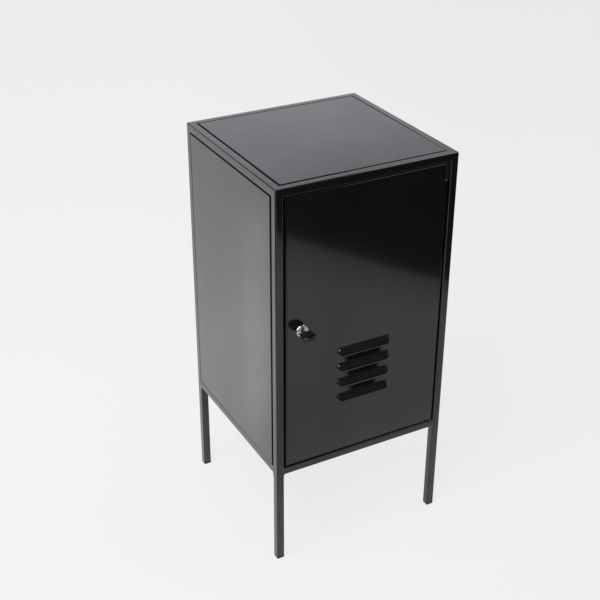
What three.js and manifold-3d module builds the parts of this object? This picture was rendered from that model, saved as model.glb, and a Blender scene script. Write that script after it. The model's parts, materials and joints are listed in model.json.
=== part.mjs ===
// Metal bedside locker: a welded frame of square tube on four legs, closed by folded
// sheet panels, with one inset door that swings on two pivots, four pressed louvres
// and a cam lock with its key. Millimetres, +Z up, the door faces -Y.
import * as THREE from "three";
import { mergeVertices } from "three/addons/utils/BufferGeometryUtils.js";
import Module from "manifold-3d";

const wasm = await Module();
wasm.setup();

// Overall sizes
const body_width = 350;
const body_depth = 345;
const body_height = 750;
const leg_clear_height = 192;

// Square tube of the frame
const tube_size = 15;
const tube_wall = 1.2;
const tube_corner_radius = 2;
const tube_arc_steps = 2;
const mitre_gap = 0.2;
const weld_fillet = 4;

// Clearances
const seat_gap = 0.3;
const cut_overrun = 1;
const merge_tolerance = 1e-5;

// Foot caps
const cap_base_height = 4;
const cap_edge_round = 1.2;
const cap_round_steps = 3;
const cap_plug_height = 14;
const cap_plug_wall = 1.6;
const cap_rib_height = 9;
const cap_rib_width = 1.2;

// Folded sheet panels
const panel_sheet = 0.8;
const panel_fold_radius = 1.6;
const panel_flange = 8;
const panel_arc_steps = 2;
const panel_open_gap = 2.4;
const panel_side_gap = 1.2;

// Shelf and its two angles
const shelf_top_z = 470;
const shelf_flange = 15;
const shelf_side_gap = 2;
const shelf_front_setback = 16;
const shelf_back_gap = 4;
const angle_sheet = 1.2;
const angle_upright = 20;
const angle_ledge = 28;
const angle_bend_radius = 2.4;
const angle_length = 240;

// Door pan
const door_side_gap = 3;
const door_top_gap = 2;
const door_bottom_gap = 2.5;
const door_depth = 14;
const door_sheet = 0.8;
const door_fold_radius = 1.6;
const door_lip = 10;

// Hat channel behind the door skin
const stiffener_inset_x = 62;
const stiffener_width = 40;
const stiffener_brim = 10;
const stiffener_height = 8;
const stiffener_sheet = 0.8;
const stiffener_end_gap = 14;

// Pressed louvres
const louvre_count = 4;
const louvre_pitch = 31.8;
const louvre_middle_z = 365;
const louvre_length = 110;
const louvre_height = 14.5;
const louvre_depth = 8.5;
const louvre_end_reach = 13;
const louvre_cap_steps = 5;
const louvre_round_steps = 28;

// Door pivots
const pivot_inset_x = 3.5;
const pivot_inset_y = 4;
const pivot_pin_radius = 1.6;
const pivot_bore_radius = 1.75;
const pivot_round_steps = 24;
const knuckle_radius = 3.2;
const knuckle_length = 30;
const knuckle_web = 3;
const knuckle_end_gap = 0.5;
const notch_clearance = 0.8;
const upper_pin_reach = 10;
const lower_pin_reach = 8;
const washer_radius = 3.2;
const washer_play = 0.3;

// Cam lock
const lock_inset_x = 31.5;
const lock_z = 483.5;
const lock_round_steps = 32;
const bezel_radius = 12;
const bezel_height = 2.6;
const bezel_rim = 2.6;
const bezel_dish = 0.9;
const barrel_radius = 9;
const barrel_length = 20;
const barrel_flat_width = 16;
const barrel_hole_play = 0.2;
const plug_radius = 6.3;
const plug_play = 0.2;
const plug_tail = 7;
const plug_tail_length = 3;
const nut_across_flats = 22;
const nut_sides = 6;
const nut_height = 3.5;
const keyway_depth = 19;
const keyway_play = 0.3;

// Cam and its screw
const cam_sheet = 2;
const cam_reach = 40;
const cam_width = 14;
const cam_tip_width = 11;
const cam_arc_steps = 4;
const cam_hole_play = 0.3;
const cam_gap = 0.3;
const cam_screw_radius = 2;
const cam_screw_depth = 1.9;
const cam_screw_head_radius = 4.6;
const cam_screw_head_height = 2.2;
const cam_screw_play = 0.3;
const cam_screw_cross = 1.1;

// Key
const key_blade_width = 8;
const key_blade_sheet = 2;
const key_blade_insert = 18;
const key_tooth_depth = 1.6;
const key_tooth_count = 5;
const key_head_start = 9.5;
const key_head_end = 35;
const key_head_width = 26;
const key_head_thickness = 8;
const key_head_bevel = 2;
const key_bevel_steps = 3;
const key_curve_steps = 8;
const key_head_tail = 12;
const key_ring_hole_radius = 2.4;

// Door stops on the lock side
const stop_sheet = 1;
const stop_width = 19;
const stop_height = 24;
const stop_inset_z = 40;
const buffer_width = 6;
const buffer_height = 16;

// Places that follow from the sizes
const half_width = body_width / 2;
const half_depth = body_depth / 2;
const opening_half_width = half_width - tube_size;
const opening_half_depth = half_depth - tube_size;
const rail_top_z = leg_clear_height + tube_size;
const ring_bottom_z = body_height - tube_size;
const door_half_width = opening_half_width - door_side_gap;
const door_bottom_z = rail_top_z + door_bottom_gap;
const door_top_z = ring_bottom_z - door_top_gap;
const door_height = door_top_z - door_bottom_z;
const door_middle_z = (door_top_z + door_bottom_z) / 2;
const pivot_x = door_half_width - pivot_inset_x;
const lock_x = -door_half_width + lock_inset_x;
const stiffener_x = door_half_width - stiffener_inset_x;

// Finishes
const gloss_black = { color: 0x131416, roughness: 0.22, metalness: 0 };
const bright_chrome = { color: 0xd8d9db, roughness: 0.12, metalness: 1 };
const zinc_plate = { color: 0xa9abad, roughness: 0.35, metalness: 1 };
const black_plastic = { color: 0x1a1a1b, roughness: 0.55, metalness: 0 };
const black_rubber = { color: 0x151515, roughness: 0.9, metalness: 0 };

// A closed three.js geometry becomes a solid that can be joined and cut
function solidOf(geometry) {
  const bare = geometry.clone();
  bare.deleteAttribute("normal");
  bare.deleteAttribute("uv");
  const merged = mergeVertices(bare, merge_tolerance);
  const vertProperties = new Float32Array(merged.attributes.position.array);
  const triVerts = new Uint32Array(merged.index.array);
  return new wasm.Manifold(new wasm.Mesh({ numProp: 3, vertProperties, triVerts }));
}

function geometryOf(solid) {
  const mesh = solid.getMesh();
  const geometry = new THREE.BufferGeometry();
  geometry.setAttribute("position", new THREE.BufferAttribute(mesh.vertProperties, 3));
  geometry.setIndex(new THREE.BufferAttribute(mesh.triVerts, 1));
  geometry.computeVertexNormals();
  return geometry;
}

// A box between two corners
function block(low, high) {
  const size = high.map((value, axis) => value - low[axis]);
  const geometry = new THREE.BoxGeometry(...size);
  geometry.translate(...low.map((value, axis) => value + size[axis] / 2));
  return geometry;
}

// A round bar on a centre line, from one end to the other
function rod(axis, radius, from, to, steps) {
  const geometry = new THREE.CylinderGeometry(radius, radius, to - from, steps);
  geometry.translate(0, (from + to) / 2, 0);
  if (axis === "z") geometry.rotateX(Math.PI / 2);
  return geometry;
}

function roundedRectangle(width, height, radius) {
  const x = width / 2;
  const y = height / 2;
  const shape = new THREE.Shape();
  shape.moveTo(-x + radius, -y);
  shape.lineTo(x - radius, -y);
  shape.absarc(x - radius, -y + radius, radius, -Math.PI / 2, 0);
  shape.lineTo(x, y - radius);
  shape.absarc(x - radius, y - radius, radius, 0, Math.PI / 2);
  shape.lineTo(-x + radius, y);
  shape.absarc(-x + radius, y - radius, radius, Math.PI / 2, Math.PI);
  shape.lineTo(-x, -y + radius);
  shape.absarc(-x + radius, -y + radius, radius, Math.PI, Math.PI * 1.5);
  return shape;
}

// A shape pushed through a length that is centred on the shape's own plane
function pushed(shape, length, curveSegments) {
  const options = { depth: length, bevelEnabled: false, curveSegments };
  const geometry = new THREE.ExtrudeGeometry(shape, options);
  geometry.translate(0, 0, -length / 2);
  return geometry;
}

// Turns local x, y, z to the given world directions
function turned(geometry, x, y, z) {
  const basis = new THREE.Matrix4().makeBasis(
    new THREE.Vector3(...x), new THREE.Vector3(...y), new THREE.Vector3(...z));
  return geometry.applyMatrix4(basis);
}

// Square tube, open at both ends
function tube(length) {
  const section = roundedRectangle(tube_size, tube_size, tube_corner_radius);
  const inner_size = tube_size - 2 * tube_wall;
  section.holes.push(roundedRectangle(inner_size, inner_size, tube_corner_radius - tube_wall));
  return pushed(section, length, tube_arc_steps);
}

// A tube whose two ends are cut at 45 degrees, longest on its outer side, local +Y
function mitredTube(length) {
  const geometry = tube(length - mitre_gap);
  const position = geometry.attributes.position;
  for (let i = 0; i < position.count; i += 1) {
    const inward = tube_size / 2 - position.getY(i);
    const z = position.getZ(i);
    position.setZ(i, z - Math.sign(z) * inward);
  }
  return geometry;
}

// The small fillet of weld in the corner under a rail, where it meets the leg
function weldFillet() {
  const shape = new THREE.Shape();
  shape.moveTo(0, 0);
  shape.lineTo(-weld_fillet, 0);
  shape.absarc(-weld_fillet, -weld_fillet, weld_fillet, Math.PI / 2, 0, true);
  shape.lineTo(0, 0);
  return pushed(shape, tube_size - 2 * tube_corner_radius, tube_arc_steps);
}

// A bottom rail along X between two legs, with its two weld fillets
function bottomRail(length) {
  let rail = solidOf(turned(tube(length), [0, 1, 0], [0, 0, 1], [1, 0, 0]));
  for (const side of [-1, 1]) {
    const fillet = turned(weldFillet(), [1, 0, 0], [0, 0, 1], [0, -1, 0]);
    if (side < 0) fillet.rotateZ(Math.PI);
    fillet.translate(side * length / 2, 0, -tube_size / 2);
    rail = rail.add(solidOf(fillet));
  }
  return geometryOf(rail);
}

// Plastic cap of a leg: a round-edged base and a hollow ribbed plug inside the tube
function footCap() {
  const inset = 2 * cap_edge_round;
  const base_size = tube_size - inset;
  const outline = roundedRectangle(base_size, base_size, tube_corner_radius - cap_edge_round);
  const base = new THREE.ExtrudeGeometry(outline, {
    depth: cap_base_height - inset,
    bevelThickness: cap_edge_round,
    bevelSize: cap_edge_round,
    bevelSegments: cap_round_steps,
    curveSegments: tube_arc_steps,
  });
  base.translate(0, 0, cap_edge_round);
  const plug_size = tube_size - 2 * tube_wall - 2 * seat_gap;
  const hollow_size = plug_size - 2 * cap_plug_wall;
  const plug_radius_share = 0.1;
  const corner = plug_size * plug_radius_share;
  const plug_outline = roundedRectangle(plug_size, plug_size, corner);
  const plug = pushed(plug_outline, cap_plug_height, tube_arc_steps);
  plug.translate(0, 0, cap_base_height + cap_plug_height / 2 - cap_edge_round);
  const hollow = block(
    [-hollow_size / 2, -hollow_size / 2, cap_base_height],
    [hollow_size / 2, hollow_size / 2, cap_base_height + cap_plug_height]);
  const rib = block(
    [-hollow_size / 2 - cut_overrun, -cap_rib_width / 2, cap_base_height - cut_overrun],
    [hollow_size / 2 + cut_overrun, cap_rib_width / 2, cap_base_height + cap_rib_height]);
  return geometryOf(solidOf(base).add(solidOf(plug)).subtract(solidOf(hollow)).add(solidOf(rib)));
}

// A block whose front face has rounded edges. Its face is on z = 0, x is its width, y its height
function crownedBlock(width, height, depth, radius) {
  const profile = (span) => {
    const shape = new THREE.Shape();
    shape.moveTo(-span / 2, -depth);
    shape.lineTo(span / 2, -depth);
    shape.lineTo(span / 2, -radius);
    shape.absarc(span / 2 - radius, -radius, radius, 0, Math.PI / 2);
    shape.lineTo(-span / 2 + radius, 0);
    shape.absarc(-span / 2 + radius, -radius, radius, Math.PI / 2, Math.PI);
    return shape;
  };
  const across = turned(pushed(profile(width), height, panel_arc_steps), [1, 0, 0], [0, 0, 1], [0, -1, 0]);
  const along = turned(pushed(profile(height), width, panel_arc_steps), [0, 1, 0], [0, 0, 1], [1, 0, 0]);
  return solidOf(across).intersect(solidOf(along));
}

// A sheet folded back on its four sides, open behind
function foldedTray(width, height, flange, sheet, radius) {
  const outside = crownedBlock(width, height, flange, radius);
  const inside = crownedBlock(width - 2 * sheet, height - 2 * sheet, flange, radius - sheet);
  return outside.subtract(inside.translate(0, 0, -sheet));
}

// A tray that fills an opening, with a gap of its own on each of its four sides
function panelGeometry(width, height, gaps) {
  const tray_width = width - gaps.left - gaps.right;
  const tray_height = height - gaps.bottom - gaps.top;
  const tray = foldedTray(tray_width, tray_height, panel_flange, panel_sheet, panel_fold_radius);
  return geometryOf(tray.translate((gaps.left - gaps.right) / 2, (gaps.bottom - gaps.top) / 2, 0));
}

// One angle that carries the shelf, its upright against the side panel on local x = 0
function shelfAngle() {
  const inner_radius = angle_bend_radius - angle_sheet;
  const shape = new THREE.Shape();
  shape.moveTo(0, -angle_upright);
  shape.lineTo(angle_sheet, -angle_upright);
  shape.lineTo(angle_sheet, -angle_sheet - inner_radius);
  shape.absarc(angle_bend_radius, -angle_bend_radius, inner_radius, Math.PI, Math.PI / 2, true);
  shape.lineTo(angle_ledge, -angle_sheet);
  shape.lineTo(angle_ledge, 0);
  shape.lineTo(angle_bend_radius, 0);
  shape.absarc(angle_bend_radius, -angle_bend_radius, angle_bend_radius, Math.PI / 2, Math.PI);
  return turned(pushed(shape, angle_length, panel_arc_steps), [1, 0, 0], [0, 0, 1], [0, -1, 0]);
}

// The quarter of a long ellipsoid that a louvre's hood follows, less an inset for its inside.
// It starts at a depth below the skin's face
function louvreHood(inset, start) {
  const reach = louvre_end_reach - inset;
  const straight = louvre_length - 2 * louvre_end_reach;
  const capsule = new THREE.CapsuleGeometry(1, straight / reach, louvre_cap_steps, louvre_round_steps);
  capsule.rotateZ(Math.PI / 2);
  capsule.scale(reach, louvre_height - inset, louvre_depth - inset);
  const quarter = block(
    [-louvre_length, 0, -start],
    [louvre_length, louvre_height + cut_overrun, louvre_depth + cut_overrun]);
  return solidOf(capsule).intersect(solidOf(quarter));
}

// The door pan: skin, folded edges, return lips, hinge notch, pivot holes, lock hole, louvres.
// Local x runs across the front, y is the height above the floor, z points out of the face
function doorPan() {
  const notch_left = pivot_x - knuckle_radius - notch_clearance;
  const notch_bottom = door_top_z - knuckle_length - knuckle_end_gap;
  const notch = (grow) => solidOf(block(
    [notch_left - grow, notch_bottom - grow, -door_depth - cut_overrun],
    [door_half_width + cut_overrun, door_top_z + cut_overrun, cut_overrun]));
  const width = 2 * door_half_width;
  const outside = crownedBlock(width, door_height, door_depth, door_fold_radius)
    .translate(0, door_middle_z, 0)
    .subtract(notch(0));
  const hollow = crownedBlock(
    width - 2 * door_sheet, door_height - 2 * door_sheet,
    door_depth - 2 * door_sheet, door_fold_radius - door_sheet)
    .translate(0, door_middle_z, -door_sheet)
    .subtract(notch(door_sheet));
  const back_opening = solidOf(block(
    [-door_half_width + door_lip, door_bottom_z + door_lip, -door_depth - cut_overrun],
    [door_half_width - door_lip, door_top_z - door_lip, -door_depth + door_sheet + cut_overrun]));
  let pan = outside.subtract(hollow).subtract(back_opening);
  for (const level of [notch_bottom, door_bottom_z + door_sheet]) {
    const hole = rod("y", pivot_bore_radius, level - door_sheet - cut_overrun, level + cut_overrun,
      pivot_round_steps);
    pan = pan.subtract(solidOf(hole).translate(pivot_x, 0, -pivot_inset_y));
  }
  const lock_hole = rod("z", barrel_radius + barrel_hole_play, -door_sheet - cut_overrun, cut_overrun,
    lock_round_steps);
  pan = pan.subtract(solidOf(lock_hole).translate(lock_x, lock_z, 0));
  const hood = louvreHood(0, door_sheet / 2);
  const hood_inside = louvreHood(door_sheet, door_sheet + cut_overrun);
  for (let i = 0; i < louvre_count; i += 1) {
    const level = louvre_middle_z + (i - (louvre_count - 1) / 2) * louvre_pitch;
    pan = pan.add(hood.translate(0, level, 0)).subtract(hood_inside.translate(0, level, 0));
  }
  return geometryOf(pan);
}

// Hat channel that stiffens the door, its brims against the back of the skin
function doorStiffener() {
  const half = stiffener_width / 2;
  const crown = half - stiffener_brim;
  const t = stiffener_sheet;
  const shape = new THREE.Shape();
  shape.moveTo(-half, 0);
  shape.lineTo(-crown - t, 0);
  shape.lineTo(-crown, -stiffener_height + t);
  shape.lineTo(crown, -stiffener_height + t);
  shape.lineTo(crown + t, 0);
  shape.lineTo(half, 0);
  shape.lineTo(half, -t);
  shape.lineTo(crown + 2 * t, -t);
  shape.lineTo(crown + t, -stiffener_height);
  shape.lineTo(-crown - t, -stiffener_height);
  shape.lineTo(-crown - 2 * t, -t);
  shape.lineTo(-half, -t);
  const length = door_height - 2 * stiffener_end_gap;
  const channel = turned(pushed(shape, length, panel_arc_steps), [1, 0, 0], [0, 0, 1], [0, -1, 0]);
  channel.translate(stiffener_x, door_middle_z, -door_sheet - seat_gap);
  return channel;
}

// Knuckle welded to the leg by a short web. It fills the notch at the top of the door
function upperKnuckle() {
  const top = door_top_z;
  const bottom = top - knuckle_length;
  const web = block(
    [0, bottom, -knuckle_web / 2],
    [opening_half_width - pivot_x, top, knuckle_web / 2]);
  const barrel = solidOf(rod("y", knuckle_radius, bottom, top, pivot_round_steps));
  const bore = solidOf(rod("y", pivot_bore_radius, bottom - cut_overrun, top + cut_overrun,
    pivot_round_steps));
  return geometryOf(barrel.add(solidOf(web)).subtract(bore));
}

// A pin with a short taper on its free end
function pivotPin(from, to, taper_end) {
  const taper = pivot_pin_radius / 2;
  const point = pivot_pin_radius / 2;
  const profile = taper_end > 0
    ? [[0, from], [pivot_pin_radius, from], [pivot_pin_radius, to - taper], [point, to], [0, to]]
    : [[0, from], [point, from], [pivot_pin_radius, from + taper], [pivot_pin_radius, to], [0, to]];
  return lathed(profile, pivot_round_steps);
}

// A profile of [radius, height] pairs turned about the Y axis
function lathed(profile, steps) {
  return new THREE.LatheGeometry(profile.map(([x, y]) => new THREE.Vector2(x, y)), steps);
}

function pivotWasher() {
  const low = rail_top_z;
  const high = door_bottom_z - washer_play;
  return lathed([
    [pivot_bore_radius, low], [washer_radius, low], [washer_radius, high],
    [pivot_bore_radius, high], [pivot_bore_radius, low],
  ], pivot_round_steps);
}

// Chrome lock case: domed bezel with a dished face, and a barrel with two flats
function lockCase() {
  const bore = plug_radius + plug_play;
  const rim_share = 0.55;
  const profile = [
    [bore, -barrel_length],
    [barrel_radius, -barrel_length],
    [barrel_radius, seat_gap],
    [bezel_radius, seat_gap],
    [bezel_radius, bezel_height * rim_share],
    [bezel_radius - bezel_rim / 4, bezel_height * (1 + rim_share) / 2],
    [bezel_radius - bezel_rim / 2, bezel_height],
    [bezel_radius - bezel_rim, bezel_height],
    [bore + bezel_dish, bezel_height - bezel_dish],
    [bore, bezel_height - bezel_dish],
    [bore, -barrel_length],
  ];
  let body = solidOf(lathed(profile, lock_round_steps).rotateX(Math.PI / 2));
  for (const side of [-1, 1]) {
    const inner = side * barrel_flat_width / 2;
    const outer = side * (barrel_radius + cut_overrun);
    body = body.subtract(solidOf(block(
      [Math.min(inner, outer), -barrel_radius, -barrel_length - cut_overrun],
      [Math.max(inner, outer), barrel_radius, -door_sheet * 2])));
  }
  return geometryOf(body);
}

// Hexagon nut behind the door skin
function lockNut() {
  const corner = nut_across_flats / 2 / Math.cos(Math.PI / nut_sides);
  const high = -door_sheet - seat_gap;
  const hexagon = solidOf(rod("z", corner, high - nut_height, high, nut_sides));
  const bore = rod("z", barrel_radius + seat_gap, high - nut_height - cut_overrun, high + cut_overrun,
    lock_round_steps);
  return geometryOf(hexagon.subtract(solidOf(bore)));
}

// Turning plug: keyway in front, square tail behind with a hole for the cam screw
function lockPlug() {
  const front = bezel_height - bezel_dish;
  const back = -barrel_length;
  const cylinder = solidOf(rod("z", plug_radius, back, front, lock_round_steps));
  const tail = solidOf(block(
    [-plug_tail / 2, -plug_tail / 2, back - plug_tail_length],
    [plug_tail / 2, plug_tail / 2, back + cut_overrun]));
  const keyway_x = key_blade_width / 2 + keyway_play;
  const keyway_y = key_blade_sheet / 2 + keyway_play;
  const keyway = solidOf(block(
    [-keyway_x, -keyway_y, front - keyway_depth], [keyway_x, keyway_y, front + cut_overrun]));
  const screw_hole = solidOf(rod("z", cam_screw_radius + cam_screw_play,
    back - plug_tail_length - cut_overrun, back - plug_tail_length + cam_screw_depth + cam_screw_play,
    pivot_round_steps));
  return geometryOf(cylinder.add(tail).subtract(keyway).subtract(screw_hole));
}

// The cam hangs down from the plug's tail at rest and points at the leg when it is locked
function lockCam() {
  const shape = new THREE.Shape();
  const tip = cam_reach - cam_tip_width / 2;
  shape.moveTo(cam_tip_width / 2, -tip);
  shape.lineTo(cam_width / 2, 0);
  shape.absarc(0, 0, cam_width / 2, 0, Math.PI);
  shape.lineTo(-cam_tip_width / 2, -tip);
  shape.absarc(0, -tip, cam_tip_width / 2, Math.PI, Math.PI * 2);
  const hole_size = plug_tail + 2 * cam_hole_play;
  const hole = new THREE.Path();
  hole.moveTo(-hole_size / 2, -hole_size / 2);
  hole.lineTo(-hole_size / 2, hole_size / 2);
  hole.lineTo(hole_size / 2, hole_size / 2);
  hole.lineTo(hole_size / 2, -hole_size / 2);
  hole.lineTo(-hole_size / 2, -hole_size / 2);
  shape.holes.push(hole);
  const plate = pushed(shape, cam_sheet, cam_arc_steps);
  plate.translate(0, 0, -barrel_length - cam_gap - cam_sheet / 2);
  return plate;
}

// Pan-head screw with a cross recess, which holds the cam on the plug's tail
function camScrew() {
  const seat = -barrel_length - plug_tail_length - seat_gap;
  const end = seat - cam_screw_head_height;
  const shank = solidOf(rod("z", cam_screw_radius, seat - cut_overrun,
    -barrel_length - plug_tail_length + cam_screw_depth, pivot_round_steps));
  const head_share = 0.75;
  const profile = [
    [0, end],
    [cam_screw_head_radius * head_share, end],
    [cam_screw_head_radius, seat - cam_screw_head_height / 2],
    [cam_screw_head_radius, seat],
    [0, seat],
  ];
  let screw = shank.add(solidOf(lathed(profile, pivot_round_steps).rotateX(Math.PI / 2)));
  const arm = cam_screw_head_radius / 2;
  for (const [x, y] of [[arm, cam_screw_cross / 2], [cam_screw_cross / 2, arm]]) {
    screw = screw.subtract(solidOf(block([-x, -y, end - cut_overrun], [x, y, end + cam_screw_cross])));
  }
  return geometryOf(screw);
}

// Key blade with cuts along one edge. Its tail is held inside the plastic head
function keyBlade() {
  const half = key_blade_width / 2;
  const start = bezel_height - bezel_dish - key_blade_insert;
  const toothed = key_blade_insert - key_blade_width;
  const pitch = toothed / key_tooth_count;
  const tail = key_head_start + key_head_tail;
  const shape = new THREE.Shape();
  shape.moveTo(-half, tail);
  shape.lineTo(-half, start + half);
  shape.lineTo(0, start);
  shape.lineTo(half - key_tooth_depth, start + half);
  for (let i = 0; i < key_tooth_count; i += 1) {
    const y = start + half + i * pitch;
    shape.lineTo(half, y + pitch / 2);
    shape.lineTo(half - key_tooth_depth, y + pitch);
  }
  shape.lineTo(half, start + half + toothed + pitch / 2);
  shape.lineTo(half, tail);
  return turned(pushed(shape, key_blade_sheet, panel_arc_steps), [1, 0, 0], [0, 0, 1], [0, -1, 0]);
}

// Moulded plastic head of the key, with its ring hole and the pocket for the blade
function keyHead() {
  const reach = key_head_end - key_head_start;
  const half = key_head_width / 2 - key_head_bevel;
  const low = key_head_start + key_head_bevel;
  const high = key_head_end - key_head_bevel;
  const neck_share = 0.5;
  const shoulder_share = 0.38;
  const neck = half * neck_share;
  const shoulder = low + reach * shoulder_share;
  const outline = new THREE.Shape();
  outline.moveTo(-neck, low);
  outline.lineTo(neck, low);
  outline.bezierCurveTo(neck, (low + shoulder) / 2, half, low, half, shoulder);
  outline.bezierCurveTo(half, high, half * neck_share, high, 0, high);
  outline.bezierCurveTo(-half * neck_share, high, -half, high, -half, shoulder);
  outline.bezierCurveTo(-half, low, -neck, (low + shoulder) / 2, -neck, low);
  const body = new THREE.ExtrudeGeometry(outline, {
    depth: key_head_thickness - 2 * key_head_bevel,
    bevelThickness: key_head_bevel,
    bevelSize: key_head_bevel,
    bevelSegments: key_bevel_steps,
    curveSegments: key_curve_steps,
  });
  body.translate(0, 0, -key_head_thickness / 2 + key_head_bevel);
  const ring_hole = rod("z", key_ring_hole_radius, -key_head_thickness, key_head_thickness,
    pivot_round_steps);
  ring_hole.translate(0, high - 2 * key_ring_hole_radius + key_head_bevel / 2, 0);
  const pocket_x = key_blade_width / 2 + seat_gap;
  const pocket_z = key_blade_sheet / 2 + seat_gap;
  const pocket = block(
    [-pocket_x, key_head_start - cut_overrun, -pocket_z],
    [pocket_x, key_head_start + key_head_tail + seat_gap, pocket_z]);
  const head = solidOf(body).subtract(solidOf(ring_hole)).subtract(solidOf(pocket));
  return turned(geometryOf(head), [1, 0, 0], [0, 0, 1], [0, -1, 0]);
}

// Plate behind the leg that the closed door comes to rest on, and its rubber buffer
function doorStop(level) {
  const right = -opening_half_width + stop_width - tube_size / 2;
  return block(
    [right - stop_width, level - stop_height / 2, -tube_size - stop_sheet],
    [right, level + stop_height / 2, -tube_size]);
}

function doorBuffer(level) {
  const right = -opening_half_width + stop_width - tube_size / 2;
  return block(
    [right - buffer_width, level - buffer_height / 2, -tube_size],
    [right, level + buffer_height / 2, -door_depth - seat_gap]);
}

// The scene graph
const locker = new THREE.Group();
const frame = new THREE.Group();
const front_side = new THREE.Group();
const lock = new THREE.Group();
locker.add(frame);
locker.add(front_side);
front_side.add(lock);

function addPiece(parent, name, geometry, finish, place = [0, 0, 0]) {
  const mesh = new THREE.Mesh(geometry, new THREE.MeshStandardMaterial(finish));
  mesh.name = name;
  mesh.position.set(...place);
  parent.add(mesh);
  return mesh;
}

// Turns a group so that its local x, y and z point along the given directions
function aim(group, x, y, z) {
  const basis = new THREE.Matrix4().makeBasis(
    new THREE.Vector3(...x), new THREE.Vector3(...y), new THREE.Vector3(...z));
  group.quaternion.setFromRotationMatrix(basis);
}

// Legs and their caps
const leg_length = ring_bottom_z - cap_base_height;
const leg_middle_z = cap_base_height + leg_length / 2;
for (const [depth_name, depth_side] of [["front", -1], ["back", 1]]) {
  for (const [width_name, width_side] of [["left", -1], ["right", 1]]) {
    const x = width_side * (half_width - tube_size / 2);
    const y = depth_side * (half_depth - tube_size / 2);
    addPiece(frame, `${depth_name}_${width_name}_post`, tube(leg_length), gloss_black,
      [x, y, leg_middle_z]);
    addPiece(frame, `${depth_name}_${width_name}_foot_cap`, footCap(), black_plastic, [x, y, 0]);
  }
}

// Top ring: four mitred rails, and bottom rails between the legs
for (const [side_name, side, length, turn] of [
  ["front", [0, -1], body_width, 0],
  ["right", [1, 0], body_depth, Math.PI / 2],
  ["back", [0, 1], body_width, Math.PI],
  ["left", [-1, 0], body_depth, -Math.PI / 2],
]) {
  const x = side[0] * (half_width - tube_size / 2);
  const y = side[1] * (half_depth - tube_size / 2);
  const top_rail = turned(mitredTube(length), [0, 0, 1], [0, -1, 0], [1, 0, 0]);
  top_rail.rotateZ(turn);
  addPiece(frame, `top_${side_name}_rail`, top_rail, gloss_black,
    [x, y, body_height - tube_size / 2]);
  const low_rail = bottomRail(length - 2 * tube_size - 2 * seat_gap);
  low_rail.rotateZ(turn);
  addPiece(frame, `bottom_${side_name}_rail`, low_rail, gloss_black, [x, y, rail_top_z - tube_size / 2]);
}

// Five folded panels. Each sits flush with the tubes' outer faces
const panel_height = ring_bottom_z - rail_top_z;
const panel_middle_z = (ring_bottom_z + rail_top_z) / 2;
const upright_gaps = { top: panel_open_gap, bottom: seat_gap };
for (const [name, x_to, y_to, z_to, place, width, height, gaps] of [
  ["top_panel", [1, 0, 0], [0, 1, 0], [0, 0, 1], [0, 0, body_height],
    2 * opening_half_width, 2 * opening_half_depth,
    { left: panel_open_gap, right: seat_gap, top: seat_gap, bottom: panel_side_gap }],
  ["floor_panel", [1, 0, 0], [0, 1, 0], [0, 0, 1], [0, 0, rail_top_z],
    2 * opening_half_width, 2 * opening_half_depth,
    { left: seat_gap, right: seat_gap, top: seat_gap, bottom: seat_gap }],
  ["left_side_panel", [0, -1, 0], [0, 0, 1], [-1, 0, 0], [-half_width, 0, panel_middle_z],
    2 * opening_half_depth, panel_height, { left: seat_gap, right: panel_open_gap, ...upright_gaps }],
  ["right_side_panel", [0, 1, 0], [0, 0, 1], [1, 0, 0], [half_width, 0, panel_middle_z],
    2 * opening_half_depth, panel_height, { left: panel_open_gap, right: seat_gap, ...upright_gaps }],
  ["back_panel", [-1, 0, 0], [0, 0, 1], [0, 1, 0], [0, half_depth, panel_middle_z],
    2 * opening_half_width, panel_height,
    { left: panel_side_gap, right: panel_side_gap, ...upright_gaps }],
]) {
  const panel = addPiece(frame, name, panelGeometry(width, height, gaps), gloss_black, place);
  aim(panel, x_to, y_to, z_to);
}

// Shelf and the angles that carry it
const shelf_width = 2 * (opening_half_width - shelf_side_gap);
const shelf_front_y = -opening_half_depth + shelf_front_setback;
const shelf_back_y = half_depth - panel_flange - shelf_back_gap;
const shelf_depth = shelf_back_y - shelf_front_y;
const shelf_tray = foldedTray(shelf_width, shelf_depth, shelf_flange, panel_sheet, panel_fold_radius);
const shelf_middle_y = (shelf_front_y + shelf_back_y) / 2;
addPiece(frame, "shelf", geometryOf(shelf_tray), gloss_black, [0, shelf_middle_y, shelf_top_z]);
for (const [name, side] of [["left", -1], ["right", 1]]) {
  const x = side * (half_width - panel_sheet - seat_gap);
  const angle = addPiece(frame, `${name}_shelf_angle`, shelfAngle(), gloss_black,
    [x, shelf_middle_y, shelf_top_z - shelf_flange]);
  if (side > 0) angle.rotation.z = Math.PI;
}

// Door, pivots and stops. In this group x runs across, y is the height, z points outwards
front_side.position.set(0, -half_depth, 0);
aim(front_side, [1, 0, 0], [0, 0, 1], [0, -1, 0]);
const pivot_place = [pivot_x, 0, -pivot_inset_y];
addPiece(front_side, "door_pan", doorPan(), gloss_black);
addPiece(front_side, "door_stiffener", doorStiffener(), gloss_black);
addPiece(front_side, "upper_hinge_knuckle", upperKnuckle(), gloss_black, pivot_place);
const upper_pin_bottom = door_top_z - knuckle_length - upper_pin_reach;
const lower_pin_top = door_bottom_z + lower_pin_reach;
addPiece(front_side, "upper_hinge_pin", pivotPin(upper_pin_bottom, door_top_z, -1), zinc_plate,
  pivot_place);
addPiece(front_side, "lower_pivot_pin", pivotPin(rail_top_z, lower_pin_top, 1), zinc_plate,
  pivot_place);
addPiece(front_side, "lower_pivot_washer", pivotWasher(), black_plastic, pivot_place);
for (const [name, level] of [
  ["upper", door_top_z - stop_inset_z],
  ["lower", door_bottom_z + stop_inset_z],
]) {
  addPiece(front_side, `${name}_door_stop`, doorStop(level), gloss_black);
  addPiece(front_side, `${name}_door_buffer`, doorBuffer(level), black_rubber);
}

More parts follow.
